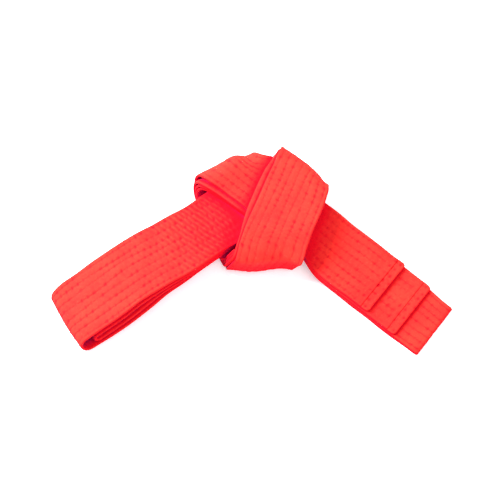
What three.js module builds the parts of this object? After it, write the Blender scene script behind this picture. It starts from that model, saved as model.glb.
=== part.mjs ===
// Martial arts belt, folded in four and tied in one flat overhand knot.
// The folded belt is a bundle of four layers.  The bundle runs left leg, under pass, fold, top
// pass, fold, floor pass, fold, middle pass, right leg, and never stretches: each place on it is
// named by (u along, v across, n off the middle surface), and a fold is a half turn of a cylinder.
import * as THREE from "three";

// Belt, mm
const BELT_WIDTH = 40;
const BELT_THICKNESS = 1.7;
const COVER_WALL = 0.25;
const PLY_COUNT = 3;
const PLY_THICKNESS = 0.25;
const PLY_SIDE_GAP = 0.4;
const HEM_LENGTH = 5.5;
const HEM_GAP = 0.3;

// Bundle and knot
const LAYER_GAP = 0.2;
const PASS_GAP = 0.3;
const FRONT_CORNER_SLACK = 0.7;
const EDGE_CLEARANCE = 0.4;
const UNDER_PASS_HEADING = 33.9;
const PENTAGON_TURN = 36.45;

// Left leg.  Each leg runs level until it is this far past the edge of the pass that it crosses.
const LEFT_LEVEL_PAST_EDGE = 8;
const LEFT_RISE_LENGTH = 20;
const LEFT_RISE_TURN = -3;
const LEFT_LENGTH = 145;
const LEFT_LOOP_HALF_HEIGHT = 4.6;
const LEFT_NOSE_HALF_HEIGHT = 1.5;
const LEFT_NOSE_SETBACK = 9;
const LEFT_FAN = 3;

// Right leg
const RIGHT_LEVEL_PAST_EDGE = 2;
const RIGHT_DIP_LENGTH = 20;
const RIGHT_REST_LENGTH = 6;
const TIP_A_LENGTH = 120;
const TIP_B_LENGTH = 141;
const MIDDLE_FOLD_LENGTH = 158;
const FLOOR_LIFT = 0.05;
const TIP_A_SHIFT = -2.2;
const TIP_B_SHIFT = -1.2;
const TIP_SHIFT_LENGTH = 78;

// Smoothness
const FOLD_STEPS = 14;
const LEG_STEPS = 6;
const LOOP_STEPS = 10;

const COTTON = new THREE.MeshStandardMaterial({ color: 0xf4452f, roughness: 0.9, metalness: 0 });
const PLY_COTTON = new THREE.MeshStandardMaterial({ color: 0xefe6d2, roughness: 0.95, metalness: 0 });
const HEM_COTTON = new THREE.MeshStandardMaterial({ color: 0xe83c2a, roughness: 0.9, metalness: 0 });

const HALF_WIDTH = BELT_WIDTH / 2;
const PITCH = BELT_THICKNESS + LAYER_GAP;
const BUNDLE = 4 * BELT_THICKNESS + 3 * LAYER_GAP;
const PASS = BUNDLE + PASS_GAP;

const radians = (degrees) => (degrees * Math.PI) / 180;
const heading = (angle) => [Math.cos(angle), Math.sin(angle)];
const leftOf = (d) => [-d[1], d[0]];
const dot = (a, b) => a[0] * b[0] + a[1] * b[1];
const move = (point, d, length) => [point[0] + d[0] * length, point[1] + d[1] * length];
const minus = (a, b) => [a[0] - b[0], a[1] - b[1]];
const clamp = (x, low, high) => Math.min(Math.max(x, low), high);
const smooth = (x) => {
  const k = clamp(x, 0, 1);
  return k * k * (3 - 2 * k);
};

// Solves a*x + b*y = c for x and y, where a, b and c are plane vectors.
function solve(a, b, c) {
  const det = a[0] * b[1] - a[1] * b[0];
  return [(c[0] * b[1] - c[1] * b[0]) / det, (a[0] * c[1] - a[1] * c[0]) / det];
}

// Heights of the four passes' middle surfaces over the floor.
const FLOOR_PASS_Z = BUNDLE / 2;
const UNDER_PASS_Z = FLOOR_PASS_Z + PASS;

const knot = layOutKnot();

// Places the three folds so that the knot is drawn tight: the first fold lies along the middle
// pass's edge and the last one along the under pass's edge.
function layOutKnot() {
  const under = radians(UNDER_PASS_HEADING);
  const front = under - radians(PENTAGON_TURN);
  const right = 2 * front - under;
  const axes = [heading(right), heading(front), heading(under)];
  const outward = [leftOf(axes[0]), leftOf(axes[1]).map((c) => -c), leftOf(axes[2])];
  const corner = [PASS, BUNDLE / 2 + FRONT_CORNER_SLACK, PASS];
  const height = [2 * PASS, 3 * PASS, 2 * PASS];
  const around = corner.map((r, k) => Math.PI * r + height[k] - 2 * r);
  const passes = [
    heading(under),
    heading(2 * right - under),
    heading(2 * front - 2 * right + under),
    heading(right),
  ];
  const runOn = [];
  const arc = [];
  for (let k = 0; k < 3; k++) {
    const across = dot(passes[k], outward[k]);
    arc.push(around[k] / across);
    runOn.push((around[k] * dot(passes[k], axes[k])) / across);
  }
  const reach = HALF_WIDTH + EDGE_CLEARANCE;
  const [top, floor] = solve(
    [dot(passes[1], outward[2]), dot(passes[1], outward[0])],
    [dot(passes[2], outward[2]), dot(passes[2], outward[0])],
    [
      reach - runOn[0] * dot(axes[0], outward[2]) - runOn[1] * dot(axes[1], outward[2]),
      -reach - runOn[1] * dot(axes[1], outward[0]) - runOn[2] * dot(axes[2], outward[0]),
    ],
  );
  const start = [[0, 0]];
  start.push(move(move(start[0], axes[0], runOn[0]), passes[1], top));
  start.push(move(move(start[1], axes[1], runOn[1]), passes[2], floor));
  const last = move(start[2], axes[2], runOn[2]);
  const foldIn = [0, arc[0] + top, arc[0] + top + arc[1] + floor];
  const foldOut = foldIn.map((u, k) => u + arc[k]);
  const [back, ahead] = solve(passes[0], [-passes[3][0], -passes[3][1]], last);
  const folds = foldIn.map((u, k) => ({
    from: u,
    to: foldOut[k],
    through: start[k],
    outward: outward[k],
    corner: corner[k],
    wall: height[k] - 2 * corner[k],
    around: around[k],
    rise: [1, -1, 1][k],
    after: [back, (foldOut[0] + foldIn[1]) / 2, (foldOut[1] + foldIn[2]) / 2][k],
    skew: (k === 1 ? 1 : -1) * (dot(leftOf(passes[k]), outward[k]) / dot(passes[k], outward[k])),
  }));
  return {
    passes,
    folds,
    leftStart: back - HALF_WIDTH - LEFT_LEVEL_PAST_EDGE,
    leftEnd: back - LEFT_LENGTH,
    rightStart: foldOut[2] + ahead + HALF_WIDTH + RIGHT_LEVEL_PAST_EDGE,
    rightZero: foldOut[2],
  };
}

// Reach, climb and turn of a fold's section after a distance along it: a quarter turn, a straight
// wall and a second quarter turn.
function alongFold(fold, distance) {
  const quarter = (Math.PI / 2) * fold.corner;
  if (distance < quarter) {
    const angle = distance / fold.corner;
    return { reach: fold.corner * Math.sin(angle), climb: fold.corner * (1 - Math.cos(angle)), angle };
  }
  if (distance < quarter + fold.wall) {
    return { reach: fold.corner, climb: fold.corner + distance - quarter, angle: Math.PI / 2 };
  }
  const angle = Math.min(Math.PI / 2 + (distance - quarter - fold.wall) / fold.corner, Math.PI);
  return {
    reach: fold.corner * Math.sin(angle) - Math.max(distance - fold.around, 0),
    climb: fold.corner * (1 - Math.cos(angle)) + fold.wall,
    angle,
  };
}

// Run and fall after a distance along a chain of arcs, each a [length, turn in degrees].
function alongArcs(distance, arcs) {
  let run = 0;
  let fall = 0;
  let angle = 0;
  let rest = distance;
  for (const [length, turn] of arcs) {
    const bend = radians(turn) / length;
    const here = clamp(rest, 0, length);
    run += (Math.sin(angle + bend * here) - Math.sin(angle)) / bend;
    fall += (Math.cos(angle) - Math.cos(angle + bend * here)) / bend;
    angle += bend * here;
    rest -= here;
  }
  return { run: run + rest * Math.cos(angle), fall: fall + rest * Math.sin(angle), angle };
}

// The second arc's turn with which the chain of two arcs falls by the height asked for.
function turnForFall(height, arcsFor) {
  let low = 0;
  let high = 60;
  for (let i = 0; i < 50; i++) {
    const turn = (low + high) / 2;
    const arcs = arcsFor(turn);
    if (alongArcs(arcs[0][0] + arcs[1][0], arcs).fall < height) low = turn;
    else high = turn;
  }
  return arcsFor(low);
}

const leftFall = UNDER_PASS_Z - LEFT_LOOP_HALF_HEIGHT - BELT_THICKNESS / 2 - FLOOR_LIFT;
const LEFT_ARCS = turnForFall(leftFall, (turn) => [
  [LEFT_RISE_LENGTH, LEFT_RISE_TURN],
  [knot.leftStart - LEFT_RISE_LENGTH - knot.leftEnd, turn],
]);
const levelLength =
  knot.rightZero + MIDDLE_FOLD_LENGTH - RIGHT_REST_LENGTH - RIGHT_DIP_LENGTH - knot.rightStart;
const RIGHT_ARCS = turnForFall(2 * PASS - FLOOR_LIFT, (turn) => [
  [RIGHT_DIP_LENGTH, turn],
  [levelLength, -turn],
]);

// The place of (u, v, n) on the tied bundle.
function bundlePoint(u, v, n) {
  const first = knot.passes[0];
  let run = u;
  let z = UNDER_PASS_Z;
  let up = [0, 0, 1];
  let side = 1;
  if (u < knot.leftStart) {
    const leg = alongArcs(knot.leftStart - u, LEFT_ARCS);
    run = knot.leftStart - leg.run;
    z -= leg.fall;
    up = [-Math.sin(leg.angle) * first[0], -Math.sin(leg.angle) * first[1], Math.cos(leg.angle)];
  }
  if (u > knot.rightStart) {
    const last = knot.passes[3];
    const leg = alongArcs(u - knot.rightStart, RIGHT_ARCS);
    run = knot.rightStart + leg.run;
    z -= leg.fall;
    up = [Math.sin(leg.angle) * last[0], Math.sin(leg.angle) * last[1], Math.cos(leg.angle)];
  }
  let place = move(move([0, 0], first, run), leftOf(first), v);
  for (const fold of knot.folds) {
    const beyond = dot(minus(place, fold.through), fold.outward);
    if (run < fold.after || beyond <= 0) continue;
    const { reach, climb, angle } = alongFold(fold, beyond);
    place = move(place, fold.outward, reach - beyond);
    z += fold.rise * climb;
    if (beyond < fold.around) {
      const lean = -fold.rise * Math.sin(angle);
      up = [lean * fold.outward[0], lean * fold.outward[1], Math.cos(angle)];
    } else {
      side = -side;
    }
  }
  return new THREE.Vector3(
    place[0] + side * up[0] * n,
    place[1] + side * up[1] * n,
    z + side * up[2] * n,
  );
}

// Places along the bundle at which it starts or stops bending, with steps between them.
// Each place is [u at the middle of the width, how far u runs on per mm across].
function bundleStations(leftEnd, rightEnd) {
  const list = [];
  const spread = (from, to, steps, skewFrom, skewTo) => {
    for (let i = 0; i < steps; i++) {
      const k = i / steps;
      list.push([from + (to - from) * k, skewFrom + (skewTo - skewFrom) * k]);
    }
  };
  const riseEnd = knot.leftStart - LEFT_RISE_LENGTH;
  spread(leftEnd, riseEnd, LEG_STEPS, 0, 0);
  spread(riseEnd, knot.leftStart, LEG_STEPS / 2, 0, 0);
  let from = knot.leftStart;
  let skew = 0;
  for (const fold of knot.folds) {
    spread(from, fold.from, 1, skew, fold.skew);
    const wall = (fold.to - fold.from) * (fold.wall / fold.around);
    const wallFrom = (fold.from + fold.to - wall) / 2;
    spread(fold.from, wallFrom, FOLD_STEPS / 2, fold.skew, fold.skew);
    if (fold.wall > 0) spread(wallFrom, wallFrom + wall, 1, fold.skew, fold.skew);
    spread(wallFrom + wall, fold.to, FOLD_STEPS / 2, fold.skew, fold.skew);
    from = fold.to;
    skew = fold.skew;
  }
  const dipEnd = knot.rightStart + RIGHT_DIP_LENGTH;
  spread(from, knot.rightStart, 1, skew, 0);
  spread(knot.rightStart, dipEnd, LEG_STEPS / 2, 0, 0);
  spread(dipEnd, rightEnd, LEG_STEPS, 0, 0);
  list.push([rightEnd, 0]);
  return list;
}

// How far a layer (1 under the left leg to 4 on top of it) lies off the bundle's middle surface,
// and how far it has slid sideways.
function layerPlace(layer, u) {
  const order = layer - 2.5;
  const nose = layer === 2 || layer === 3;
  const tipOffset = nose ? LEFT_NOSE_HALF_HEIGHT : LEFT_LOOP_HALF_HEIGHT;
  const left = smooth((knot.leftStart - u) / (knot.leftStart - knot.leftEnd));
  const right = smooth((u - knot.rightStart) / TIP_SHIFT_LENGTH);
  const fanned = clamp((knot.leftStart - u) / (knot.leftStart - knot.leftEnd), 0, 1);
  let n = order * PITCH;
  n += left * (Math.sign(order) * tipOffset - n);
  let shift = fanned * fanned * LEFT_FAN * (order / 3);
  if (layer === 1) shift += right * TIP_A_SHIFT;
  if (layer === 2) shift += right * TIP_B_SHIFT;
  return { n, shift };
}

// The belt's own middle line through the bundle: tip A, left loop, middle fold, left nose, tip B.
// Each entry is {u, n, skew, shift}.
function beltLine() {
  const line = [];
  const rightEnds = [TIP_A_LENGTH, TIP_B_LENGTH, MIDDLE_FOLD_LENGTH, MIDDLE_FOLD_LENGTH];
  const leftEnds = [0, LEFT_NOSE_SETBACK, LEFT_NOSE_SETBACK, 0];
  const turnIn = [LEFT_LOOP_HALF_HEIGHT, LEFT_NOSE_HALF_HEIGHT, LEFT_NOSE_HALF_HEIGHT, LEFT_LOOP_HALF_HEIGHT];
  const run = (layer) => {
    const from = knot.leftEnd + leftEnds[layer - 1] + turnIn[layer - 1];
    const folded = layer > 2 ? PITCH / 2 : 0;
    const to = knot.rightZero + rightEnds[layer - 1] - folded;
    return bundleStations(from, to).map(([u, skew]) => ({ u, skew, ...layerPlace(layer, u) }));
  };
  const turn = (a, b, bulge) => {
    for (let i = 1; i < LOOP_STEPS; i++) {
      const angle = (Math.PI * i) / LOOP_STEPS;
      const k = (1 - Math.cos(angle)) / 2;
      line.push({
        u: a.u + bulge * Math.sin(angle),
        n: a.n + (b.n - a.n) * k,
        skew: 0,
        shift: a.shift + (b.shift - a.shift) * k,
      });
    }
  };
  const first = run(1).reverse();
  const second = run(4);
  const third = run(3).reverse();
  const fourth = run(2);
  line.push(...first);
  turn(first.at(-1), second[0], -LEFT_LOOP_HALF_HEIGHT);
  line.push(...second);
  turn(second.at(-1), third[0], PITCH / 2);
  line.push(...third);
  turn(third.at(-1), fourth[0], -LEFT_NOSE_HALF_HEIGHT);
  line.push(...fourth);
  return line;
}

// Adds to each entry of the line the direction its face side looks in, within (u, n).
function withFaces(line) {
  return line.map((here, i) => {
    const before = line[Math.max(i - 1, 0)];
    const after = line[Math.min(i + 1, line.length - 1)];
    const du = after.u - before.u;
    const dn = after.n - before.n;
    const length = Math.hypot(du, dn);
    return { ...here, face: [-dn / length, du / length] };
  });
}

// Cuts the line to the part between two distances from tip A.
function cutLine(line, from, to) {
  const out = [];
  let at = 0;
  const mix = (a, b, k) => ({
    u: a.u + (b.u - a.u) * k,
    n: a.n + (b.n - a.n) * k,
    skew: a.skew + (b.skew - a.skew) * k,
    shift: a.shift + (b.shift - a.shift) * k,
  });
  for (let i = 1; i < line.length; i++) {
    const a = line[i - 1];
    const b = line[i];
    const length = Math.hypot(b.u - a.u, b.n - a.n);
    if (at + length > from && at < to) {
      if (out.length === 0) out.push(mix(a, b, Math.max(from - at, 0) / length));
      out.push(mix(a, b, Math.min(to - at, length) / length));
    }
    at += length;
  }
  return out;
}

const lineLength = (line) =>
  line.slice(1).reduce((sum, b, i) => sum + Math.hypot(b.u - line[i].u, b.n - line[i].n), 0);

// Rectangle, counter-clockwise, as [across, towards the face] pairs.
const rectangle = (halfWidth, low, high) => [
  [-halfWidth, low],
  [halfWidth, low],
  [halfWidth, high],
  [-halfWidth, high],
];

// Sweeps an outline, and a hole in it if there is one, along part of the belt.
function sweep(line, outline, hole = []) {
  const section = [...outline, ...hole];
  const position = [];
  for (const { u, n, skew, shift, face } of line) {
    for (const [across, off] of section) {
      const v = across + shift;
      const p = bundlePoint(u + skew * v + off * face[0], v, n + off * face[1]);
      position.push(p.x, p.y, p.z);
    }
  }
  const size = section.length;
  const index = [];
  const ring = (first, count, inwards) => {
    for (let i = 0; i + 1 < line.length; i++) {
      for (let j = 0; j < count; j++) {
        const a = i * size + first + j;
        const b = i * size + first + ((j + 1) % count);
        if (inwards) index.push(a, a + size, b, b, a + size, b + size);
        else index.push(a, b, a + size, b, b + size, a + size);
      }
    }
  };
  ring(0, outline.length, false);
  if (hole.length) ring(outline.length, hole.length, true);
  const toVector = ([x, y]) => new THREE.Vector2(x, y);
  const cap = THREE.ShapeUtils.triangulateShape(
    outline.map(toVector),
    hole.length ? [hole.map(toVector)] : [],
  );
  const lastRing = (line.length - 1) * size;
  for (const [a, b, c] of cap) {
    index.push(a, c, b);
    index.push(lastRing + a, lastRing + b, lastRing + c);
  }
  const geometry = new THREE.BufferGeometry();
  geometry.setAttribute("position", new THREE.Float32BufferAttribute(position, 3));
  geometry.setIndex(index);
  geometry.computeVertexNormals();
  return geometry;
}

const belt = beltLine();
const total = lineLength(belt);
const body = withFaces(cutLine(belt, HEM_LENGTH + HEM_GAP, total - HEM_LENGTH - HEM_GAP));
const halfThickness = BELT_THICKNESS / 2;

const group = new THREE.Group();
group.name = "martial_arts_belt";

function add(name, geometry, material) {
  const mesh = new THREE.Mesh(geometry, material);
  mesh.name = name;
  group.add(mesh);
}

const cavity = rectangle(HALF_WIDTH - COVER_WALL, COVER_WALL - halfThickness, halfThickness - COVER_WALL);
add("cover", sweep(body, rectangle(HALF_WIDTH, -halfThickness, halfThickness), cavity), COTTON);

const plyGap = (BELT_THICKNESS - 2 * COVER_WALL - PLY_COUNT * PLY_THICKNESS) / (PLY_COUNT + 1);
for (let i = 0; i < PLY_COUNT; i++) {
  const low = COVER_WALL - halfThickness + plyGap + i * (PLY_THICKNESS + plyGap);
  const outline = rectangle(HALF_WIDTH - COVER_WALL - PLY_SIDE_GAP, low, low + PLY_THICKNESS);
  add(`core_ply_${i + 1}`, sweep(body, outline), PLY_COTTON);
}

const hem = rectangle(HALF_WIDTH, -halfThickness, halfThickness);
add("tip_a_hem", sweep(withFaces(cutLine(belt, 0, HEM_LENGTH)), hem), HEM_COTTON);
add("tip_b_hem", sweep(withFaces(cutLine(belt, total - HEM_LENGTH, total)), hem), HEM_COTTON);

// The origin is under the middle of the belt, on the floor.
const box = new THREE.Box3().setFromObject(group);
const middle = box.getCenter(new THREE.Vector3());
for (const mesh of group.children) mesh.geometry.translate(-middle.x, -middle.y, -box.min.z);

export default group;
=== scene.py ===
import math

import bpy
import numpy as np
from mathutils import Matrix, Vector


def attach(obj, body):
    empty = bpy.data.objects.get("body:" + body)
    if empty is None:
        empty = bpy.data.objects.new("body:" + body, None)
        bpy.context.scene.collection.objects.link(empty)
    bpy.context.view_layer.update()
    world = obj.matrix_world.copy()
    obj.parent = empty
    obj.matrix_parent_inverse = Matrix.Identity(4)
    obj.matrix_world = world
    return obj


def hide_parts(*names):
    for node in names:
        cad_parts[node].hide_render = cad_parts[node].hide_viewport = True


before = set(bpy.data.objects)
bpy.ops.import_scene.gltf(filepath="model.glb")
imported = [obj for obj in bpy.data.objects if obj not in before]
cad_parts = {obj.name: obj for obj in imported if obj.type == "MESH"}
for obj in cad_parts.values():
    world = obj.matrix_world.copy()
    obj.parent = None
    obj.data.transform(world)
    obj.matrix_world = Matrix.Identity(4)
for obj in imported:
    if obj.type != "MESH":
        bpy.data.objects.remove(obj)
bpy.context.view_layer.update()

MM = 0.001

# Belt
BELT_WIDTH = 40
BELT_THICKNESS = 1.7
HEM_LENGTH = 5.5
HEM_SEAM = 0.02
HEM_CORNER = 2.2
CROSS_ROW = HEM_LENGTH - 0.8

# Bundle of four layers and its knot
LAYER_GAP = 0.2
PASS_GAP = 0.3
FRONT_CORNER_SLACK = 0.7
EDGE_CLEARANCE = 0.4
UNDER_PASS_HEADING = 33.9
PENTAGON_TURN = 36.45
LEFT_LEVEL_PAST_EDGE = 8
LEFT_RISE_LENGTH = 20
LEFT_RISE_TURN = -3
LEFT_LENGTH = 145
LEFT_LOOP_HALF_HEIGHT = 4.6
LEFT_NOSE_HALF_HEIGHT = 1.5
LEFT_NOSE_SETBACK = 9
LEFT_FAN = 3
RIGHT_LEVEL_PAST_EDGE = 2
RIGHT_DIP_LENGTH = 20
RIGHT_REST_LENGTH = 6
TIP_A_LENGTH = 120
TIP_B_LENGTH = 141
MIDDLE_FOLD_LENGTH = 158
FLOOR_LIFT = 0.05
TIP_A_SHIFT = -2.2
TIP_B_SHIFT = -1.2
TIP_SHIFT_LENGTH = 78

# How the real knot is looser than the plain one: layers that slid, lifted and were pulled
LOOSE_FOLD_LIFT = [2.6, 1.0, 0.3, 0.0]
LOOSE_FOLD_RUN_OUT = 14
TOP_LAYER_LIFT = 0.45
TOP_LAYER_SLIDE = -1.8
BAND_LAYER_SLIDE = -3.2
INNER_LAYER_SLIDE = 2.3
LOWER_LAYER_SLIDE = [-3.3, -2.1, -0.8, 0.0]
LOWER_SLIDE_AT = 0.31
LOWER_SLIDE_SPREAD = 0.22
LEFT_BOW = 1.4
LEFT_BOW_AT = 0.42
LEFT_BOW_SPREAD = 0.17
FAR_LAYER_SLIDE = -0.5
RIGHT_LEG_DRIFT = 2.5
RIGHT_LEG_RETURN = 0.9
LEFT_LEG_DRIFT = 2.0
FRONT_PRESS = 0.16

# Quilting
ROW_COUNT = 8
ROW_PITCH = 5.0
STITCH_PITCH = 4.1
STITCH_LENGTH = 3.0
THREAD_RADIUS = 0.16
PUFF_HEIGHT = 0.07
SHOWN_PUFF_HEIGHT = 0.2
PUCKER_HEIGHT = 0.55
PUCKER_PITCH = 3.1
GROOVE_DEPTH = 0.04
HOLE_DEPTH = 0.3
EDGE_SHADE = 0.6
CAVITY_HALF_HEIGHT = 0.4
PLY_HALF_WIDTH = 19.0
PLY_HALF_THICKNESS = 0.03
PLY_WIDTH_SHARE = 0.985
PLY_SPACING = 0.19
INNER_POINTS = 13
FACE_POINTS = 41
BACK_POINTS = 17

# Spacing of the cover's rings along the belt, and how far past a fold its own spacing reaches
SHOWN_STEP = 1.0
HIDDEN_STEP = 2.4
FOLD_STEP = 0.8
CRUMPLED_STEP = 0.62
FOLD_REACH = 4

HALF_WIDTH = BELT_WIDTH / 2
HALF_THICKNESS = BELT_THICKNESS / 2
PITCH = BELT_THICKNESS + LAYER_GAP
BUNDLE = 4 * BELT_THICKNESS + 3 * LAYER_GAP
PASS = BUNDLE + PASS_GAP
UNDER_PASS_Z = BUNDLE / 2 + PASS
FIRST_ROW = -ROW_PITCH * (ROW_COUNT - 1) / 2

rng = np.random.default_rng(7)


# ---- The knot ----------------------------------------------------------------------------------

def heading(angle):
    return np.array([math.cos(angle), math.sin(angle)])


def left_of(d):
    return np.array([-d[1], d[0]])


def smooth(x):
    k = np.clip(x, 0, 1)
    return k * k * (3 - 2 * k)


class Fold:
    """Half a turn of the bundle round a straight axis."""

    def __init__(self, axis, outward, corner, height, rise):
        self.axis = axis
        self.outward = outward
        self.corner = corner
        self.wall = height - 2 * corner
        self.around = math.pi * corner + self.wall
        self.rise = rise

    def along(self, distance):
        """Reach, climb and turn of the fold's section after a distance along it."""
        quarter = math.pi / 2 * self.corner
        first = np.clip(distance, 0, quarter) / self.corner
        wall = np.clip(distance - quarter, 0, self.wall)
        second = np.clip(distance - quarter - self.wall, 0, quarter) / self.corner
        angle = first + second
        reach = self.corner * np.sin(angle) - np.maximum(distance - self.around, 0)
        return reach, self.corner * (1 - np.cos(angle)) + wall, angle


class Knot:
    """Places the three folds so that the knot is drawn tight."""

    def __init__(self):
        under = math.radians(UNDER_PASS_HEADING)
        front = under - math.radians(PENTAGON_TURN)
        right = 2 * front - under
        self.passes = [
            heading(under),
            heading(2 * right - under),
            heading(2 * front - 2 * right + under),
            heading(right),
        ]
        self.folds = [
            Fold(heading(right), left_of(heading(right)), PASS, 2 * PASS, 1),
            Fold(heading(front), -left_of(heading(front)), BUNDLE / 2 + FRONT_CORNER_SLACK, 3 * PASS,
                 -1),
            Fold(heading(under), left_of(heading(under)), PASS, 2 * PASS, 1),
        ]
        arc = []
        run_on = []
        for fold, course in zip(self.folds, self.passes):
            across = course @ fold.outward
            arc.append(fold.around / across)
            run_on.append(fold.around * (course @ fold.axis) / across * fold.axis)
        first, second, third = self.folds
        reach = HALF_WIDTH + EDGE_CLEARANCE
        sides = np.array([
            [self.passes[1] @ third.outward, self.passes[2] @ third.outward],
            [self.passes[1] @ first.outward, self.passes[2] @ first.outward],
        ])
        room = np.array([
            reach - (run_on[0] + run_on[1]) @ third.outward,
            -reach - (run_on[1] + run_on[2]) @ first.outward,
        ])
        top, floor = np.linalg.solve(sides, room)
        first.through = np.zeros(2)
        second.through = run_on[0] + top * self.passes[1]
        third.through = second.through + run_on[1] + floor * self.passes[2]
        last = third.through + run_on[2]
        first.start = 0.0
        second.start = arc[0] + top
        third.start = second.start + arc[1] + floor
        for fold, length in zip(self.folds, arc):
            fold.end = fold.start + length
        back, ahead = np.linalg.solve(np.array([self.passes[0], -self.passes[3]]).T, last)
        first.after = back
        second.after = (first.end + second.start) / 2
        third.after = (second.end + third.start) / 2
        self.left_start = back - HALF_WIDTH - LEFT_LEVEL_PAST_EDGE
        self.left_end = back - LEFT_LENGTH
        self.crossing = back * self.passes[0]
        self.right_start = third.end + ahead + HALF_WIDTH + RIGHT_LEVEL_PAST_EDGE
        self.right_zero = third.end


def along_arcs(distance, arcs):
    """Run, fall and slope after a distance along a chain of arcs, each (length, turn in degrees)."""
    run = np.zeros_like(distance)
    fall = np.zeros_like(distance)
    angle = np.zeros_like(distance)
    rest = distance
    for length, turn in arcs:
        bend = math.radians(turn) / length
        here = np.clip(rest, 0, length)
        run = run + (np.sin(angle + bend * here) - np.sin(angle)) / bend
        fall = fall + (np.cos(angle) - np.cos(angle + bend * here)) / bend
        angle = angle + bend * here
        rest = rest - here
    return run + rest * np.cos(angle), fall + rest * np.sin(angle), angle


def turn_for_fall(height, arcs_for):
    """The chain of two arcs that falls by the height asked for."""
    low, high = 0.0, 60.0
    for _ in range(50):
        turn = (low + high) / 2
        arcs = arcs_for(turn)
        fall = along_arcs(np.array(float(arcs[0][0] + arcs[1][0])), arcs)[1]
        low, high = (turn, high) if fall < height else (low, turn)
    return arcs_for(low)


knot = Knot()
LEFT_ARCS = turn_for_fall(
    UNDER_PASS_Z - LEFT_LOOP_HALF_HEIGHT - BELT_THICKNESS / 2 - FLOOR_LIFT,
    lambda turn: [
        (LEFT_RISE_LENGTH, LEFT_RISE_TURN),
        (knot.left_start - LEFT_RISE_LENGTH - knot.left_end, turn),
    ],
)
LEVEL_LENGTH = (
    knot.right_zero + MIDDLE_FOLD_LENGTH - RIGHT_REST_LENGTH - RIGHT_DIP_LENGTH - knot.right_start
)
RIGHT_ARCS = turn_for_fall(
    2 * PASS - FLOOR_LIFT,
    lambda turn: [(RIGHT_DIP_LENGTH, turn), (LEVEL_LENGTH, -turn)],
)


def bundle_place(u, v, n, layer=None):
    """The place of (u along, v across, n off the middle) of the tied bundle, knot coordinates.
    With layer given, the last fold is loose and its outer layers stand off it."""
    count = len(u)
    up = np.tile([0.0, 0.0, 1.0], (count, 1))
    side = np.ones(count)
    on_left = u < knot.left_start
    on_right = u > knot.right_start
    before = np.where(on_left, knot.left_start - u, 0)
    after = np.where(on_right, u - knot.right_start, 0)
    left_run, left_fall, left_slope = along_arcs(before, LEFT_ARCS)
    right_run, right_fall, right_slope = along_arcs(after, RIGHT_ARCS)
    run = np.where(on_right, knot.right_start + right_run, u)
    run = np.where(on_left, knot.left_start - left_run, run)
    z = UNDER_PASS_Z - left_fall - right_fall
    up[on_left, :2] = -np.sin(left_slope[on_left])[:, None] * knot.passes[0]
    up[on_right, :2] = np.sin(right_slope[on_right])[:, None] * knot.passes[3]
    up[:, 2] = np.cos(left_slope + right_slope)
    place = run[:, None] * knot.passes[0] + v[:, None] * left_of(knot.passes[0])
    for fold in knot.folds:
        beyond = (place - fold.through) @ fold.outward
        on = (run >= fold.after) & (beyond > 0)
        reach, climb, angle = fold.along(np.where(on, beyond, 0))
        place = place + np.where(on, reach - beyond, 0)[:, None] * fold.outward
        z = z + fold.rise * climb
        turning = on & (beyond < fold.around)
        lean = -fold.rise * np.sin(angle[turning])
        up[turning, :2] = lean[:, None] * fold.outward
        up[turning, 2] = np.cos(angle[turning])
        side = np.where(on & ~turning, -side, side)
        if layer is not None and fold is knot.folds[2]:
            run_out = np.clip(np.where(on, beyond, 0) / (fold.around + LOOSE_FOLD_RUN_OUT), 0, 1)
            lift = np.interp(layer, [1, 2, 3, 4], LOOSE_FOLD_LIFT) * smooth((v + 18) / 34)
            n = n - lift * np.sin(math.pi * run_out) ** 2
    return np.column_stack([place, z]) + (side * n)[:, None] * up


# ---- The belt's own line through the bundle ----------------------------------------------------

def layer_place(layer, u):
    """How far a layer lies off the bundle's middle surface, and how far it has slid sideways."""
    order = layer - 2.5
    nose = layer in (2, 3)
    tip = LEFT_NOSE_HALF_HEIGHT if nose else LEFT_LOOP_HALF_HEIGHT
    fanned = np.clip((knot.left_start - u) / (knot.left_start - knot.left_end), 0, 1)
    right = smooth((u - knot.right_start) / TIP_SHIFT_LENGTH)
    n = order * PITCH + smooth(fanned) * (math.copysign(tip, order) - order * PITCH)
    shift = fanned * fanned * LEFT_FAN * (order / 3)
    shift = shift + right * {1: TIP_A_SHIFT, 2: TIP_B_SHIFT}.get(layer, 0)
    return n, shift


def belt_line(step=0.25):
    """Columns u, n, shift, layer of the belt's middle line, from tip A to tip B."""
    half = [LEFT_LOOP_HALF_HEIGHT, LEFT_NOSE_HALF_HEIGHT, LEFT_NOSE_HALF_HEIGHT, LEFT_LOOP_HALF_HEIGHT]
    setback = [0, LEFT_NOSE_SETBACK, LEFT_NOSE_SETBACK, 0]
    length = [TIP_A_LENGTH, TIP_B_LENGTH, MIDDLE_FOLD_LENGTH - PITCH / 2, MIDDLE_FOLD_LENGTH - PITCH / 2]

    def run(layer):
        start = knot.left_end + setback[layer - 1] + half[layer - 1]
        end = knot.right_zero + length[layer - 1]
        u = np.linspace(start, end, int((end - start) / step) + 1)
        n, shift = layer_place(layer, u)
        return np.column_stack([u, n, shift, np.full(len(u), layer)])

    def turn(a, b, bulge):
        angle = np.linspace(0, math.pi, 26)[1:-1]
        k = (1 - np.cos(angle)) / 2
        out = a + (b - a) * k[:, None]
        out[:, 0] = a[0] + bulge * np.sin(angle)
        return out

    first, second, third, fourth = run(1)[::-1], run(4), run(3)[::-1], run(2)
    return np.vstack([
        first,
        turn(first[-1], second[0], -LEFT_LOOP_HALF_HEIGHT),
        second,
        turn(second[-1], third[0], PITCH / 2),
        third,
        turn(third[-1], fourth[0], -LEFT_NOSE_HALF_HEIGHT),
        fourth,
    ])


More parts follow.
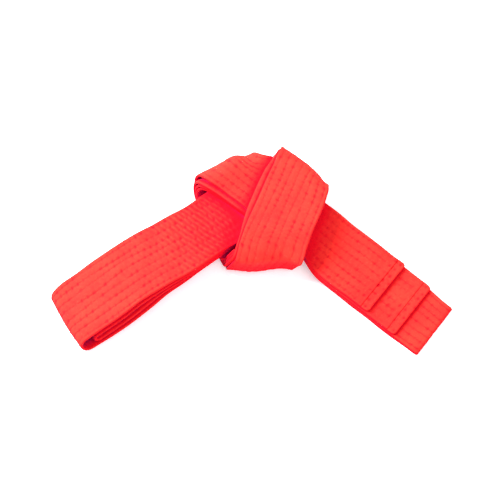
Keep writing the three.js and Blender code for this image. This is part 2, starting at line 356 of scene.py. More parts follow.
def slide_layers(line):
    """Slides and lifts the layers as they lie in the tied belt.  In the knot the outer layer lies
    to the right of the others; on the left leg the lower ones lie out past the top one and the
    whole leg bows."""
    u, layer = line[:, 0], line[:, 3]
    first, second, third = knot.folds
    at = [first.start, first.end, second.start, second.end, third.start, third.end,
          third.end + 16, third.end + 34, knot.right_start]
    top, band, inner = TOP_LAYER_SLIDE, BAND_LAYER_SLIDE, INNER_LAYER_SLIDE
    outer_slide = np.interp(u, at, [0, top, top, top, top, band, band, top, 0])
    inner_slide = np.interp(u, [first.end - 8, first.end + 4, second.start - 22, second.start - 4],
                            [0, inner, inner, 0])
    outer, second_layer = layer < 1.5, (layer > 1.5) & (layer < 2.5)
    slide = np.where(outer, outer_slide, 0) + np.where(second_layer, inner_slide, 0)
    raised = smooth((u - first.end + 6) / 12) * smooth((second.start + 6 - u) / 12)
    mid_leg = np.clip((u - knot.left_end) / (knot.left_start + 10 - knot.left_end), 0, 1)
    lower = np.exp(-((mid_leg - LOWER_SLIDE_AT) / LOWER_SLIDE_SPREAD) ** 2)
    slide = slide + np.interp(layer, [1, 2, 3, 4], LOWER_LAYER_SLIDE) * lower
    slide = slide + LEFT_BOW * np.exp(-((mid_leg - LEFT_BOW_AT) / LEFT_BOW_SPREAD) ** 2)
    slide = slide + (layer > 2.5) * FAR_LAYER_SLIDE * smooth((u - knot.right_start) / TIP_SHIFT_LENGTH)
    window = np.hanning(41)
    slide = np.convolve(np.pad(slide, 20, mode="edge"), window / window.sum(), mode="valid")
    line[:, 2] += slide
    line[:, 1] -= np.where(outer, TOP_LAYER_LIFT * raised, 0)
    return line


LINE = slide_layers(belt_line())
LINE_S = np.concatenate([[0], np.cumsum(np.hypot(np.diff(LINE[:, 0]), np.diff(LINE[:, 1])))])
LENGTH = LINE_S[-1]
SLOPE = np.gradient(LINE[:, :2], LINE_S, axis=0)
SLOPE /= np.linalg.norm(SLOPE, axis=1)[:, None]


def plain_place(s, v, off):
    """Knot coordinates of places on the flat-lying strip, before any wrinkle."""
    u, n, shift = (np.interp(s, LINE_S, LINE[:, k]) for k in range(3))
    du, dn = (np.interp(s, LINE_S, SLOPE[:, k]) for k in range(2))
    return u - dn * off, v + shift, n + du * off


def middle_of_plain_belt():
    """Middle of the belt's box in knot coordinates, with its floor: the frame's origin."""
    s, v, off = np.meshgrid(np.linspace(0, LENGTH, 2400), [-HALF_WIDTH, HALF_WIDTH],
                            [-HALF_THICKNESS, HALF_THICKNESS], indexing="ij")
    points = bundle_place(*plain_place(s.ravel(), v.ravel(), off.ravel()))
    low, high = points.min(0), points.max(0)
    return np.array([(low[0] + high[0]) / 2, (low[1] + high[1]) / 2, low[2]])


def middle_of_frame():
    """The frame's origin in knot coordinates: the plain belt's box has its middle there."""
    global LINE
    moved, LINE = LINE, belt_line()
    middle = middle_of_plain_belt()
    LINE = moved
    return middle


MIDDLE = middle_of_frame()


def wrinkle(u, v):
    """Height of the wrinkles that all four layers share, over the bundle's middle surface."""
    left = smooth((knot.left_start + 6 - u) / 14)
    lean = u + 0.22 * v
    waves = 0.22 * np.sin(lean / 7.3 + 0.5 * np.sin(v / 9)) + 0.12 * np.sin(u / 3.1 - v / 5.2)
    right = smooth((u - knot.right_start - 2) / 14)
    soft = 0.16 * np.sin(u / 6.1 - 0.3 * v / 4) + 0.1 * np.sin(u / 2.7 + v / 6)
    rest = 1 - smooth((u - knot.right_zero - TIP_A_LENGTH) / 30)
    return left * waves + right * rest * soft


def leg_place(u, v):
    """Plan place of a point on the bundle, in knot coordinates."""
    return bundle_place(np.array([float(u)]), np.array([float(v)]), np.zeros(1))[0, :2]


def corner_of(fold, v):
    """Plan place of a point on a fold's crest, in knot coordinates."""
    return leg_place((fold.start + fold.end) / 2, v)


def hand_pulls():
    """Where a hand has drawn the knot out of true: (place, reach, pull) in millimetres."""
    first, second, third = knot.folds
    edge = HALF_WIDTH
    return [
        (corner_of(second, -edge), 11, (2.3, 5.0)),
        (corner_of(second, -0.35 * edge), 14, (0.6, 5.4)),
        (corner_of(second, edge), 13, (2.0, 3.2)),
        (corner_of(first, -edge), 9, (-1.9, -0.2)),
        (corner_of(first, -1.05 * edge), 4.5, (-1.8, 0.9)),
        (corner_of(third, -1.1 * edge), 10, (-1.6, -7.0)),
        (corner_of(third, edge), 12, (-2.2, -0.4)),
        (corner_of(third, -0.45 * edge), 9, (-0.3, 2.6)),
        (leg_place(knot.right_zero + MIDDLE_FOLD_LENGTH, -edge), 14, (-1.5, -1.7)),
        (leg_place(knot.left_end, edge), 7, (1.2, -1.2)),
        (leg_place(knot.left_end, -0.3 * edge), 16, (-0.9, -0.6)),
    ]


PULLS = hand_pulls()


def drawn(points):
    """The knot as it was really drawn: its corners pulled and its legs turned a little."""
    plan, z = points[:, :2].copy(), points[:, 2].copy()
    right, left = knot.passes[3], knot.passes[0]
    out = (plan - knot.crossing) @ right
    drift = RIGHT_LEG_DRIFT * smooth((out - 6) / 34)
    drift = drift - RIGHT_LEG_RETURN * np.clip((out - 60) / 80, 0, 1.2)
    plan -= drift[:, None] * left_of(right)
    out = -(plan - knot.crossing) @ left
    plan -= (LEFT_LEG_DRIFT * np.clip((out - 24) / 120, 0, 1.2) ** 1.3)[:, None] * left_of(left)
    for place, reach, pull in PULLS:
        weight = np.exp(-((plan - place) ** 2).sum(1) / reach ** 2)
        plan += weight[:, None] * np.array(pull)
    front = knot.folds[1]
    into = (plan - front.through) @ front.outward
    along = (plan - front.through) @ front.axis
    press = smooth((into + 14) / 20) * smooth((40 - np.abs(along)) / 20)
    z *= 1 - FRONT_PRESS * press
    return np.column_stack([plan, z])


def belt_place(s, v, off):
    """Places on the belt in the frame, in metres."""
    u, w, n = plain_place(s, v, off)
    layer = np.interp(s, LINE_S, LINE[:, 3])
    return (drawn(bundle_place(u, w, n + wrinkle(u, w), layer)) - MIDDLE) * MM


# ---- The quilted surface -----------------------------------------------------------------------

STITCH_TABLE = 512
ROW_PHASE = rng.uniform(0, STITCH_PITCH, ROW_COUNT)
TENSION = rng.uniform(0.35, 1.35, (ROW_COUNT, STITCH_TABLE))
WANDER = rng.normal(0, 0.2, (ROW_COUNT, STITCH_TABLE))
LANE_PUFF = rng.uniform(0.2, 1.0, (2, ROW_COUNT + 1, STITCH_TABLE))


def row_middle(row, s):
    """Where a row of stitching runs across the belt: its straight line and its small wander."""
    at = s / 23
    k = np.floor(at).astype(int)
    mix = smooth(at - k)
    wander = WANDER[row, k % STITCH_TABLE] * (1 - mix) + WANDER[row, (k + 1) % STITCH_TABLE] * mix
    return FIRST_ROW + ROW_PITCH * row + 2 * wander


def nearest_row(s, v):
    row = np.clip(np.round((v - FIRST_ROW) / ROW_PITCH), 0, ROW_COUNT - 1).astype(int)
    return row, v - row_middle(row, s)


def shown(s):
    """From 0 to 1, how free the face is to puff up, and how crumpled it is beside the knot."""
    u, layer = np.interp(s, LINE_S, LINE[:, 0]), np.interp(s, LINE_S, LINE[:, 3])
    first, second, _ = knot.folds
    free_left = (layer > 3.5) * smooth((knot.left_start + 8 - u) / 8)
    top = smooth((u - first.start) / 10) * smooth((second.end - u) / 10)
    right = smooth((u - knot.right_start + 4) / 8)
    crumpled = free_left * np.exp(-((u - knot.left_start + 16) / 30) ** 2)
    return free_left + (layer < 1.5) * (top + right), crumpled


def quilt(s, v, side):
    """Offset of the cloth out from its flat face (side 0 is the face, 1 the back), and how much painted
    shade it gets, from 0 to 1: stitch holes painted darker, and on the face also the grooves and the
    valleys between puffs and puckers."""
    row, across = nearest_row(s, v)
    stitch = np.round((s - ROW_PHASE[row]) / STITCH_PITCH).astype(int)
    along = s - ROW_PHASE[row] - stitch * STITCH_PITCH
    pull = TENSION[row, stitch % STITCH_TABLE]
    groove = np.exp(-(across / 0.8) ** 2)
    hole_and_painted_shade = np.exp(-(along / 0.75) ** 2 - (across / 0.8) ** 2) * pull
    lane = np.floor((v - FIRST_ROW) / ROW_PITCH).astype(int) + 1
    at = s / 3.1 + 0.37 * lane
    k = np.floor(at).astype(int)
    mix = smooth(at - k)
    here = LANE_PUFF[side, lane, k % STITCH_TABLE]
    puff = here * (1 - mix) + LANE_PUFF[side, lane, (k + 1) % STITCH_TABLE] * mix
    rise = np.sin(np.clip(np.abs(across), 0, ROW_PITCH / 2) * math.pi / ROW_PITCH) ** 2
    offset = PUFF_HEIGHT * (2 * puff - 1) * rise - GROOVE_DEPTH * groove - HOLE_DEPTH * hole_and_painted_shade
    if side == 0:
        free, crumpled = shown(s)
        ridge = np.sin(2 * math.pi * (s + 0.25 * v) / PUCKER_PITCH + 2.4 * puff + 1.3 * lane)
        ripple = 0.5 + 0.5 * np.sin(2 * math.pi * s / 3.7 + 5 * puff + 2.1 * lane + 0.9 * v)
        offset = offset + SHOWN_PUFF_HEIGHT * free * puff * (0.25 * rise + 0.75 * ripple * rise)
        pucker = (0.35 + 0.65 * rise) * (0.5 + 0.5 * ridge) * (0.4 + 0.6 * puff)
        offset = offset + PUCKER_HEIGHT * crumpled * pucker
        # Painted shade: stitch holes, and on the face the grooves and the valleys between puckers and
        # puffs, are painted darker by the amount worked out in the next three lines.
        painted_valley_shade = 0.75 * crumpled * (0.5 - 0.5 * ridge)
        painted_valley_shade = painted_valley_shade + 0.3 * free * (1 - ripple) * rise * (1.2 - puff)
        hole_and_painted_shade = 1.6 * hole_and_painted_shade ** 1.3 + 0.08 * groove * pull + np.clip(painted_valley_shade, 0, 1)
    edge = smooth((HALF_WIDTH - np.abs(v)) / 1.6)
    return offset * edge, np.clip(hole_and_painted_shade, 0, 1) * edge


# ---- Meshes ------------------------------------------------------------------------------------

def mesh_object(name, points, faces, uv, material, hole_and_painted_shade=None):
    """faces is two index arrays: the quads of the sides, shaded smooth, and the triangles of the
    ends, shaded flat.  uv is per corner."""
    mesh = bpy.data.meshes.new(name)
    corners = np.concatenate([f.ravel() for f in faces]).astype(np.int32)
    sizes = np.concatenate([np.full(len(f), f.shape[1]) for f in faces])
    mesh.vertices.add(len(points))
    mesh.vertices.foreach_set("co", points.astype(np.float32).ravel())
    mesh.loops.add(len(corners))
    mesh.loops.foreach_set("vertex_index", corners)
    mesh.polygons.add(len(sizes))
    starts = np.concatenate([[0], np.cumsum(sizes)[:-1]]).astype(np.int32)
    mesh.polygons.foreach_set("loop_start", starts)
    mesh.update(calc_edges=True)
    layer = mesh.uv_layers.new(name="belt")
    layer.uv.foreach_set("vector", np.concatenate(uv).astype(np.float32).ravel())
    # The per-point attribute below carries painted shade: how much darker each point is painted.
    if hole_and_painted_shade is not None:
        mesh.attributes.new("hole_and_painted_shade", "FLOAT", "POINT").data.foreach_set("value", hole_and_painted_shade.astype(np.float32))
    mesh.shade_smooth()
    smooth_faces = np.repeat([True, False], [len(faces[0]), len(faces[1])])
    mesh.polygons.foreach_set("use_smooth", smooth_faces)
    mesh.materials.append(material)
    mesh.validate()
    piece = bpy.data.objects.new(name, mesh)
    bpy.context.scene.collection.objects.link(piece)
    return piece


def tube_quads(steps, around, first=0, inwards=False):
    i, j = np.meshgrid(np.arange(steps - 1), np.arange(around), indexing="ij")
    a = first + i * around + j
    b = first + i * around + (j + 1) % around
    quads = np.stack([a, b, b + around, a + around], -1).reshape(-1, 4)
    return quads[:, ::-1] if inwards else quads


def tube_uv(stations, girth, inwards=False):
    """UV in metres along the belt and round its section; girth has one more entry than the ring."""
    i, j = np.meshgrid(np.arange(len(stations) - 1), np.arange(len(girth) - 1), indexing="ij")
    s0, s1 = stations[i], stations[i + 1]
    g0, g1 = girth[j], girth[j + 1]
    corners = [np.stack(c, -1) for c in ((s0, g0), (s0, g1), (s1, g1), (s1, g0))]
    uv = np.stack(corners, 2).reshape(-1, 4, 2)
    return (uv[:, ::-1] if inwards else uv).reshape(-1, 2) * MM


def outer_section(face_points, back_points, edge_points=3):
    """Ring of (v, off direction, side): the face from -v to +v, an edge, the back, an edge."""
    flat = HALF_WIDTH - HALF_THICKNESS
    face = np.linspace(-flat, flat, face_points)
    back = np.linspace(flat, -flat, back_points)
    turn = np.linspace(0, math.pi, edge_points + 2)[1:-1]
    bulge, fall = HALF_THICKNESS * np.sin(turn), np.cos(turn)
    v = np.concatenate([face, flat + bulge, back, -flat - bulge])
    lift = np.concatenate([np.ones(face_points), fall, -np.ones(back_points), -fall])
    return v, lift


def inner_section(half_width):
    """Ring of (v, side) for what lies inside the cover: over the top, then back underneath."""
    across = np.linspace(-half_width, half_width, INNER_POINTS)
    return np.concatenate([across, across[::-1]]), np.repeat([1.0, -1.0], INNER_POINTS)


def cover_stations():
    """Places along the belt at which the cover has a ring: close together where it shows and in
    the folds, where a long step would cut through the layers inside."""
    start, end = HEM_LENGTH + HEM_SEAM, LENGTH - HEM_LENGTH - HEM_SEAM
    layer = LINE[:, 3]
    u = LINE[:, 0]
    shows = (layer < 1.5) | ((layer > 3.4) & (u < knot.left_start + 24)) | (u > knot.right_zero + 110)
    step = np.where(shows, SHOWN_STEP, HIDDEN_STEP)
    for fold in knot.folds:
        near = (u > fold.start - FOLD_REACH) & (u < fold.end + FOLD_REACH)
        step = np.where(near, np.minimum(step, FOLD_STEP), step)
    crumpled = (layer > 3.5) & (np.abs(u - knot.left_start + 20) < 45)
    step = np.where(crumpled, CRUMPLED_STEP, step)
    spread = np.exp(-np.linspace(-2, 2, 17) ** 2)
    step = np.convolve(np.pad(step, 8, mode="edge"), spread / spread.sum(), mode="valid")
    count = np.concatenate([[0], np.cumsum(np.diff(LINE_S) / step[1:])])
    at = np.interp([start, end], LINE_S, count)
    return np.interp(np.linspace(at[0], at[1], int(at[1] - at[0]) + 1), count, LINE_S)


def skin(stations, v, lift):
    """Points of the belt's quilted outside, and how much painted shade each gets: in stitch holes,
    grooves and valleys, and along the belt's edges.
    """
    s = np.repeat(stations, len(v))
    across = np.tile(v, len(stations))
    out = np.tile(lift, len(stations))
    face, face_painted_shade = quilt(s, across, 0)
    back, back_painted_shade = quilt(s, across, 1)
    side_shade = EDGE_SHADE * smooth((np.abs(across) - HALF_WIDTH + 0.8) / 0.5)
    edge = 0.12 * np.sin(s / 4.3 + across) + 0.1 * np.sin(s / 11.7 - across)
    off = np.where(out > 0, (HALF_THICKNESS + face) * out, (HALF_THICKNESS + back) * out)
    place = belt_place(s, across + edge * smooth(np.abs(across) / HALF_WIDTH), off)
    return place, np.maximum(np.where(out > 0, face_painted_shade, back_painted_shade), side_shade)


def girth_of(v, lift):
    step = np.hypot(np.diff(np.append(v, v[0])), np.diff(np.append(lift, lift[0])) * HALF_THICKNESS)
    return np.concatenate([[0], np.cumsum(step)])


def rim(outer, inner, near, flip):
    """Triangles that close a tube's end between its outer ring and its inner ring."""
    out = []
    for j in range(len(outer)):
        k = (j + 1) % len(outer)
        out.append((outer[j], outer[k], inner[near[j]]))
        if near[j] != near[k]:
            out.append((outer[k], inner[near[k]], inner[near[j]]))
    out = np.array(out)
    return out[:, ::-1] if flip else out


def make_cover(material):
    stations = cover_stations()
    v, lift = outer_section(FACE_POINTS, BACK_POINTS)
    points, hole_and_painted_shade = skin(stations, v, lift)
    cavity_v, cavity_side = inner_section(PLY_HALF_WIDTH)
    cavity_off = CAVITY_HALF_HEIGHT * cavity_side
    count, around = len(stations), len(cavity_v)
    inner = belt_place(np.repeat(stations, around), np.tile(cavity_v, count), np.tile(cavity_off, count))
    first = len(points)
    off = lift * HALF_THICKNESS
    near = np.array([
        np.argmin(np.abs(cavity_v - a) + 20 * (np.sign(cavity_off) != (1 if b > 0 else -1)))
        for a, b in zip(v, off)
    ])
    ring = np.arange(len(v))
    hollow = first + np.arange(around)
    ends = np.vstack([
        rim(ring, hollow, near, True),
        rim(ring + (count - 1) * len(v), hollow + (count - 1) * around, near, False),
    ])
    quads = np.vstack([tube_quads(count, len(v)), tube_quads(count, around, first, True)])
    uv = [
        tube_uv(stations, girth_of(v, lift)),
        tube_uv(stations, np.append(cavity_v, cavity_v[0]), True),
        np.zeros((len(ends) * 3, 2)),
    ]
    # Painted shade per point; the cavity's points get none.
    painted_shade_per_point = np.concatenate([hole_and_painted_shade, np.zeros(len(inner))])
    return mesh_object("belt_cover", np.vstack([points, inner]), [quads, ends], uv, material, painted_shade_per_point)


def closed_strip(name, stations, v, off, material):
    """A closed strip: ring after ring of (v, off), with its two ends closed by triangles."""
    count, around = len(stations), len(v)
    points = belt_place(np.repeat(stations, around), np.tile(v, count), np.tile(off, count))
    near = np.arange(around // 2 - 1)
    far = around - 1 - near
    fan = np.vstack([np.column_stack([near, far, far - 1]), np.column_stack([near, far - 1, near + 1])])
    last = (count - 1) * around
    ends = np.vstack([fan, fan[:, ::-1] + last])
    girth = np.concatenate([[0], np.cumsum(np.abs(np.diff(np.append(v, v[0]))))])
    uv = [tube_uv(stations, girth), np.zeros((len(ends) * 3, 2))]
    return mesh_object(name, points, [tube_quads(count, around), ends], uv, material)


def make_ply(number, material):
    """One ply, ringed at the cover's own stations so that the two bend alike and never cross."""
    v, side = inner_section(PLY_HALF_WIDTH * PLY_WIDTH_SHARE)
    off = (number - 2) * PLY_SPACING + PLY_HALF_THICKNESS * side
    return closed_strip(f"quilt_ply_{number}", cover_stations()[1:-1], v, off, material)


def make_hem(name, from_tip, end, material):
    """The belt's turned-in end: a thin pad with round edges and the belt's own relief, pinched a
    little by one row across it."""
    inward = 1 if end == 0 else -1
    at = np.concatenate([HALF_THICKNESS * (1 - np.cos(np.linspace(0.25, math.pi / 2, 5))),
                         np.linspace(HALF_THICKNESS, HEM_LENGTH, 9)[1:]])
    height = np.sqrt(np.clip(1 - (1 - np.minimum(at, HALF_THICKNESS) / HALF_THICKNESS) ** 2, 0.05, 1))
    height = height * (1 - 0.08 * np.exp(-((at - from_tip) / 0.6) ** 2))
    stations = end + inward * at
    order = np.argsort(stations)
    stations, height = stations[order], height[order]
    v, lift = outer_section(FACE_POINTS, FACE_POINTS)
    count, around = len(stations), len(v)
    s = np.repeat(stations, around)
    round_off = np.clip(HEM_CORNER - np.abs(stations - end), 0, HEM_CORNER)
    narrow = HEM_CORNER - np.sqrt(HEM_CORNER ** 2 - round_off ** 2 * 0.999)
    across = np.tile(v, count) * np.repeat(1 - narrow / HALF_WIDTH, around)
    out = np.tile(lift, count) * np.repeat(height, around)
    face, face_painted_shade = quilt(s, across, 0)
    back, back_painted_shade = quilt(s, across, 1)
    relief = np.where(out > 0, face, back) * np.abs(out)
    points = belt_place(s, across, out * (HALF_THICKNESS - 0.02 + relief))
    fan = np.array([(0, j + 1, j) for j in range(1, around - 1)])
    ends = np.vstack([fan, fan[:, ::-1] + (count - 1) * around])
    uv = [tube_uv(stations, girth_of(v, lift)), np.zeros((len(ends) * 3, 2))]
    # Painted shade per point, from the face or the back.
    hole_and_painted_shade = np.where(out > 0, face_painted_shade, back_painted_shade)
    return mesh_object(name, points, [tube_quads(count, around), ends], uv, material, hole_and_painted_shade)


def thread_mesh(name, centres, direction, length, material, faces_of):
    """Short stitches, each a bent capsule. centres is (s, v, side); direction 0 runs along the belt
    and 1 across it."""
    sides = 6
    along = np.array([-0.5, -0.46, -0.3, 0.0, 0.3, 0.46, 0.5]) * length
    thick = np.array([0.25, 0.75, 1.0, 1.0, 1.0, 0.75, 0.25]) * THREAD_RADIUS
    drop = np.array([0.34, 0.2, 0.06, 0.0, 0.06, 0.2, 0.34])
    turn = np.arange(sides) * 2 * math.pi / sides
    s, v, side = (c[:, None, None] for c in centres)
    wide = np.cos(turn)[None, None] * thick[None, :, None]
    high = np.sin(turn)[None, None] * thick[None, :, None] - drop[None, :, None]
    run = np.broadcast_to(along[None, :, None], (len(s), len(along), sides))
    wide = np.broadcast_to(wide, run.shape)
    at_s = s + (wide if direction else run)
    at_v = v + (run if direction else wide)
    level = faces_of(s, v) + high
    off = level * np.where(side == 0, 1, -1)
    points = belt_place(at_s.ravel(), at_v.ravel(), off.ravel())
    rings = len(along)
    quads = tube_quads(rings, sides)
    caps = np.vstack([[(0, j + 1, j) for j in range(1, sides - 1)],
                      [((rings - 1) * sides, (rings - 1) * sides + j, (rings - 1) * sides + j + 1)
                       for j in range(1, sides - 1)]])
    base = np.arange(len(s)) * rings * sides
    mirrored = np.broadcast_to(side == 0 if not direction else side == 1, (len(s), 1, 1))[:, :, 0]
    quads = quads[None] + base[:, None, None]
    caps = caps[None] + base[:, None, None]
    quads = np.where(mirrored[:, :, None], quads, quads[:, :, ::-1]).reshape(-1, 4)
    caps = np.where(mirrored[:, :, None], caps, caps[:, :, ::-1]).reshape(-1, 3)
    uv = [np.tile([[0, 0], [0.001, 0], [0.001, 0.001], [0, 0.001]], (len(quads), 1)),
          np.zeros((len(caps) * 3, 2))]
    return mesh_object(name, points, [quads, caps], uv, material)


def make_row(row, material):
    """One row of quilting stitches, on both faces of the belt."""
    first = math.ceil((HEM_LENGTH + HEM_SEAM + 3 - ROW_PHASE[row]) / STITCH_PITCH)
    last = math.floor((LENGTH - HEM_LENGTH - HEM_SEAM - 3 - ROW_PHASE[row]) / STITCH_PITCH)
    s = ROW_PHASE[row] + (np.arange(first, last) + 0.5) * STITCH_PITCH
    s = np.concatenate([s, s])
    side = np.repeat([0, 1], len(s) // 2)
    v = row_middle(np.full(len(s), row), s)
    level = HALF_THICKNESS - GROOVE_DEPTH
    return thread_mesh(f"stitch_row_{row + 1}", (s, v, side), 0, STITCH_LENGTH, material,
                       lambda a, b: level)


def make_hem_stitches(name, at, material):
    count = 12
    v = (np.arange(count) - (count - 1) / 2) * 3.1
    v = np.concatenate([v, v])
    side = np.repeat([0, 1], count)
    s = np.full(len(v), float(at))
    return thread_mesh(name, (s, v, side), 1, 2.3, material, lambda a, b: 0.92 * HALF_THICKNESS - 0.05)


# ---- Materials ---------------------------------------------------------------------------------

def node(tree, kind, **sets):
    made = tree.nodes.new(kind)
    for key, value in sets.items():
        setattr(made, key, value)
    return made


WEAVE_PITCH = 0.00062
# Painted shade: how far the ambient occlusion looks, and the ranges of occlusion over which the two
# shade colours are painted.
PAINTED_OCCLUSION_SHADE_DISTANCE = 0.03
PAINTED_OCCLUSION_SHADE_FROM, PAINTED_OCCLUSION_SHADE_TO = 0.04, 0.24
PAINTED_DEEPEST_SHADE_FROM, PAINTED_DEEPEST_SHADE_TO = 0.5, 0.9


def cotton(name, light, dark, wear, painted_hole_shade_colour, painted_occlusion_shade_colour, painted_deepest_shade_colour, sheen=0.05,
           roughness=0.9):
    """Woven cotton: a plain weave, uneven dye and faded spots, with painted shade: stitch holes,
    grooves, valleys and edges painted darker from a per-point attribute, and places that ambient
    occlusion finds closed in painted in a shade colour, the most closed-in in a deeper one.
    """
    material = bpy.data.materials.new(name)
    material.use_nodes = True
    tree = material.node_tree
    tree.nodes.clear()
    link = tree.links.new
    out = node(tree, "ShaderNodeOutputMaterial")
    shader = node(tree, "ShaderNodeBsdfPrincipled")
    shader.inputs["Roughness"].default_value = roughness
    shader.inputs["Sheen Weight"].default_value = sheen
    shader.inputs["Sheen Roughness"].default_value = 0.5
    shader.inputs["Sheen Tint"].default_value = (*light, 1)
    shader.inputs["Specular IOR Level"].default_value = 0.12
    link(shader.outputs["BSDF"], out.inputs["Surface"])
    place = node(tree, "ShaderNodeUVMap", uv_map="belt")

    def noise(scale, detail, rough=0.6):
        made = node(tree, "ShaderNodeTexNoise", noise_dimensions="2D")
        made.inputs["Scale"].default_value = scale
        made.inputs["Detail"].default_value = detail
        made.inputs["Roughness"].default_value = rough
        link(place.outputs["UV"], made.inputs["Vector"])
        return made.outputs["Fac"]

    def maths(operation, a, b=0.5, c=0.0):
        made = node(tree, "ShaderNodeMath", operation=operation)
        for socket, value in zip(made.inputs, (a, b, c)):
            if isinstance(value, (int, float)):
                socket.default_value = value
            else:
                link(value, socket)
        return made.outputs["Value"]

    def blend(factor, a, b, kind="MIX"):
        made = node(tree, "ShaderNodeMix", data_type="RGBA", blend_type=kind)
        sockets = (made.inputs["Factor"], made.inputs["A"], made.inputs["B"])
        for socket, value in zip(sockets, (factor, a, b)):
            if isinstance(value, tuple):
                socket.default_value = (*value, 1)
            elif isinstance(value, (int, float)):
                socket.default_value = value
            else:
                link(value, socket)
        return made.outputs["Result"]

    axes = node(tree, "ShaderNodeSeparateXYZ")
    link(place.outputs["UV"], axes.inputs["Vector"])
    thread = 2 * math.pi / WEAVE_PITCH
    warp = maths("SINE", maths("MULTIPLY", axes.outputs["X"], thread))
    weft = maths("SINE", maths("MULTIPLY", axes.outputs["Y"], thread))
    weave = maths("MULTIPLY_ADD", maths("MULTIPLY", warp, weft), 0.5, 0.5)
    fibre = noise(5200, 3)
    dye = noise(55, 4)
    slub = noise(420, 3)
    colour = blend(maths("MULTIPLY_ADD", dye, 1.6, -0.3), dark, light)
    colour = blend(maths("MULTIPLY", slub, 0.35), colour, dark)
    colour = blend(maths("MULTIPLY", maths("SUBTRACT", 1.0, weave), 0.28), colour, dark)
    worn = maths("MULTIPLY", maths("GREATER_THAN", noise(900, 5), 0.62), maths("MULTIPLY", fibre, 0.4))
    colour = blend(worn, colour, wear)
    # Painted shade: stitch holes, grooves, pucker valleys and the belt's edges painted dark red by the
    # per-point attribute.
    hole_and_painted_shade = node(tree, "ShaderNodeAttribute", attribute_name="hole_and_painted_shade")
    colour = blend(maths("MULTIPLY", hole_and_painted_shade.outputs["Fac"], 0.95), colour, painted_hole_shade_colour)
    # Painted shade from ambient occlusion: creases and places beside and under raised layers take the
    # shade colour, the most closed-in places the deeper one.
    hollow = node(tree, "ShaderNodeAmbientOcclusion", samples=8)
    hollow.inputs["Distance"].default_value = PAINTED_OCCLUSION_SHADE_DISTANCE
    shade = maths("SUBTRACT", 1.0, hollow.outputs["AO"])
    shaded = node(tree, "ShaderNodeMapRange", interpolation_type="SMOOTHSTEP")
    link(shade, shaded.inputs["Value"])
    shaded.inputs["From Min"].default_value = PAINTED_OCCLUSION_SHADE_FROM
    shaded.inputs["From Max"].default_value = PAINTED_OCCLUSION_SHADE_TO
    colour = blend(shaded.outputs["Result"], colour, painted_occlusion_shade_colour)
    painted_deepest_shade = node(tree, "ShaderNodeMapRange", interpolation_type="SMOOTHSTEP")
    link(shade, painted_deepest_shade.inputs["Value"])
    painted_deepest_shade.inputs["From Min"].default_value = PAINTED_DEEPEST_SHADE_FROM
    painted_deepest_shade.inputs["From Max"].default_value = PAINTED_DEEPEST_SHADE_TO
    colour = blend(painted_deepest_shade.outputs["Result"], colour, painted_deepest_shade_colour)
    link(colour, shader.inputs["Base Color"])
    bump = node(tree, "ShaderNodeBump")
    bump.inputs["Strength"].default_value = 0.55
    bump.inputs["Distance"].default_value = 0.00012
    height = maths("ADD", weave, maths("MULTIPLY", fibre, 0.8))
    height = maths("ADD", height, maths("MULTIPLY", slub, 1.6))
    link(height, bump.inputs["Height"])
    link(bump.outputs["Normal"], shader.inputs["Normal"])
    return material


ORANGE_RED = (0.95, 0.05, 0.028)
DEEP_RED = (0.9, 0.022, 0.02)
FADED_RED = (0.98, 0.082, 0.052)
# Painted shade colour for stitch holes, grooves, pucker valleys and the belt's edges.
PAINTED_HOLE_SHADE_RED = (0.62, 0.002, 0.012)
# Painted shade colours: crimson for creases and places beside raised layers, deep purple for the most
# closed-in places.
PAINTED_OCCLUSION_SHADE_RED = (0.8, 0.0005, 0.012)
PAINTED_DEEPEST_SHADE_RED = (0.42, 0.001, 0.09)
UNBLEACHED = (0.82, 0.76, 0.64)
RED_COTTON = (ORANGE_RED, DEEP_RED, FADED_RED, PAINTED_HOLE_SHADE_RED, PAINTED_OCCLUSION_SHADE_RED, PAINTED_DEEPEST_SHADE_RED)
cover_cotton = cotton("cover_cotton", *RED_COTTON)
hem_cotton = cotton("hem_cotton", *RED_COTTON)
thread_cotton = cotton("thread_cotton", *RED_COTTON, sheen=0.05, roughness=0.8)
# The core's last three colours are painted shade, as for the red cotton.
core_cotton = cotton("core_cotton", UNBLEACHED, (0.7, 0.62, 0.5), (0.9, 0.86, 0.78), (0.5, 0.45, 0.38),
                     (0.5, 0.44, 0.36), (0.2, 0.17, 0.13))


# ---- Pieces ------------------------------------------------------------------------------------

def settle(piece):
    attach(piece, "root")
    return piece


hems = [
    settle(make_hem("hem_of_tip_a", CROSS_ROW, 0, hem_cotton)),
    settle(make_hem("hem_of_tip_b", CROSS_ROW, LENGTH, hem_cotton)),
]
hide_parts("tip_a_hem")
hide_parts("tip_b_hem")
row_a, row_b = CROSS_ROW, LENGTH - CROSS_ROW
hem_stitches = [
    settle(make_hem_stitches("tip_a_cross_stitches", row_a, thread_cotton)),
    settle(make_hem_stitches("tip_b_cross_stitches", row_b, thread_cotton)),
]
rows = [settle(make_row(row, thread_cotton)) for row in range(ROW_COUNT)]
plies = []
for number in (1, 2, 3):
    ply = settle(make_ply(number, core_cotton))
    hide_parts(f"core_ply_{number}")
    plies.append(ply)
cover = settle(make_cover(cover_cotton))
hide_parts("cover")


# ---- Stage, light and camera -------------------------------------------------------------------

FLOOR_HALF_SIZE = 3.0
FLOOR_GLOW = 0.36
KEY_PLACE = (-0.6, 0.28, 0.62)
KEY_SIZE = 0.3
KEY_POWER = 20
FILL_PLACE = (0.35, -0.3, 0.9)
FILL_SIZE = 0.8
FILL_POWER = 4
ROOM_LIGHT = 0.68
CAMERA_ELEVATION = 66.5
CAMERA_DISTANCE = 0.6
CAMERA_AIM_HEIGHT = 0.01
CAMERA_LENS = 69.6


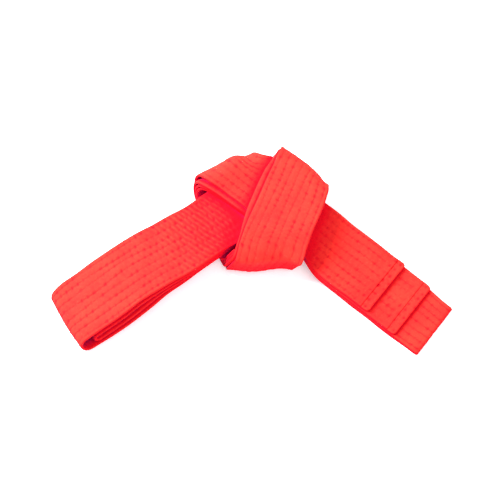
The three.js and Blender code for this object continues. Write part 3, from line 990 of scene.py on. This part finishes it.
def make_floor():
    mesh = bpy.data.meshes.new("floor")
    half = FLOOR_HALF_SIZE
    corners = [(-half, -half, 0), (half, -half, 0), (half, half, 0), (-half, half, 0)]
    mesh.from_pydata(corners, [], [(0, 1, 2, 3)])
    material = bpy.data.materials.new("floor_white")
    material.use_nodes = True
    shader = material.node_tree.nodes["Principled BSDF"]
    shader.inputs["Base Color"].default_value = (0.93, 0.93, 0.935, 1)
    shader.inputs["Roughness"].default_value = 0.9
    shader.inputs["Emission Color"].default_value = (1, 1, 1, 1)
    shader.inputs["Emission Strength"].default_value = FLOOR_GLOW
    mesh.materials.append(material)
    floor = bpy.data.objects.new("floor", mesh)
    bpy.context.scene.collection.objects.link(floor)


def make_light(name, place, aim, size, power):
    lamp = bpy.data.lights.new(name, "AREA")
    lamp.shape = "DISK"
    lamp.size = size
    lamp.energy = power
    light = bpy.data.objects.new(name, lamp)
    light.location = place
    light.rotation_euler = (Vector(aim) - Vector(place)).to_track_quat("-Z", "Y").to_euler()
    bpy.context.scene.collection.objects.link(light)


def make_camera():
    """Looks down on the belt from the front, as the belt is usually shown."""
    elevation = math.radians(CAMERA_ELEVATION)
    aim = Vector(((-25.8 - MIDDLE[0]) * MM, (-48.4 - MIDDLE[1]) * MM, CAMERA_AIM_HEIGHT))
    data = bpy.data.cameras.new("camera")
    data.lens = CAMERA_LENS
    data.sensor_width = 36
    camera = bpy.data.objects.new("camera", data)
    back = Vector((0, -math.cos(elevation), math.sin(elevation)))
    camera.location = aim + back * CAMERA_DISTANCE
    camera.rotation_euler = (-back).to_track_quat("-Z", "Y").to_euler()
    bpy.context.scene.collection.objects.link(camera)
    bpy.context.scene.camera = camera


make_floor()
make_light("key", KEY_PLACE, (0, 0, 0), KEY_SIZE, KEY_POWER)
make_light("fill", FILL_PLACE, (0, 0, 0), FILL_SIZE, FILL_POWER)
world = bpy.data.worlds.new("studio")
world.use_nodes = True
world.node_tree.nodes["Background"].inputs["Color"].default_value = (1, 1, 1, 1)
world.node_tree.nodes["Background"].inputs["Strength"].default_value = ROOM_LIGHT
bpy.context.scene.world = world
bpy.context.scene.view_settings.view_transform = "Standard"
make_camera()
